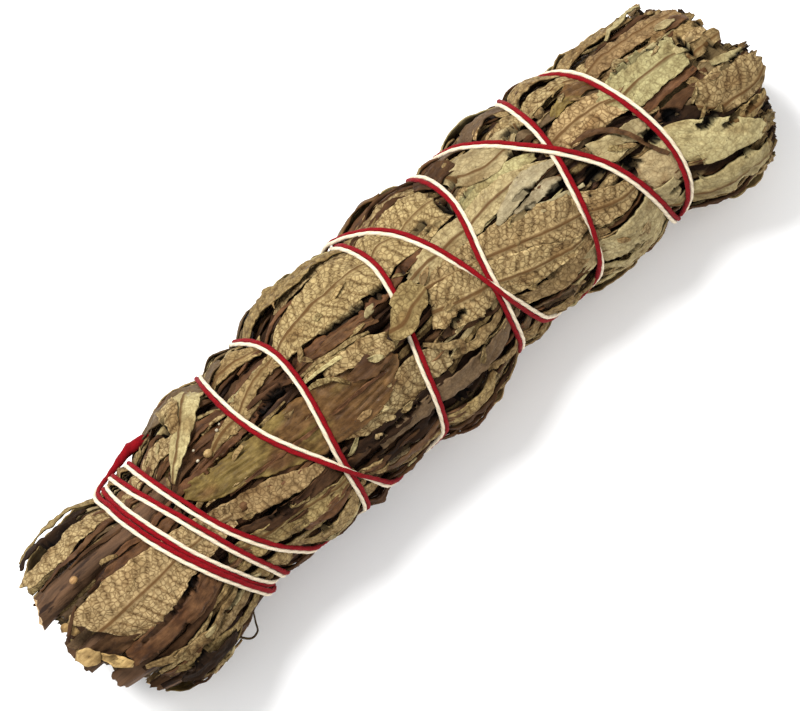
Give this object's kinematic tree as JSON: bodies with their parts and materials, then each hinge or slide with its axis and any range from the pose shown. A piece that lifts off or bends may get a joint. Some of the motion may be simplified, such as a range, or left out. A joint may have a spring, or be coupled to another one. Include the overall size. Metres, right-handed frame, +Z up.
{
  "type": "yerba santa smudge stick",
  "caption": "Bundle of cut yerba santa sprigs, dried and pressed into a roll, bound along its whole length with a red and a cream cotton thread; lies on its side.",
  "frame": {"origin": "on the flat underside that the bundle rests on, at the middle of its length", "axes": "+X along the bundle from its cut stems to its leaf tips, +Z up, +Y across"},
  "size_m": [0.1611, 0.0447, 0.0405],
  "materials": {
    "dried_leaf": "dry, matte, netted with veins, resinous in places",
    "bark": "thin dark bark over pale wood",
    "red_cotton": "twisted cotton thread",
    "cream_cotton": "twisted cotton thread"
  },
  "bodies": {
    "root": {"leaves_1": "dried_leaf", "leaves_2": "dried_leaf", "leaves_3": "dried_leaf", "leaves_4": "dried_leaf", "leaves_5": "dried_leaf", "leaves_6": "dried_leaf", "leaves_7": "dried_leaf", "leaves_8": "dried_leaf", "leaves_9": "dried_leaf", "leaves_10": "dried_leaf", "stem_1": "bark", "stem_2": "bark", "stem_3": "bark", "stem_4": "bark", "stem_5": "bark", "stem_6": "bark", "stem_7": "bark", "stem_8": "bark", "stem_9": "bark", "stem_10": "bark", "red_thread": "red_cotton", "white_thread": "cream_cotton"}
  },
  "joints": []
}
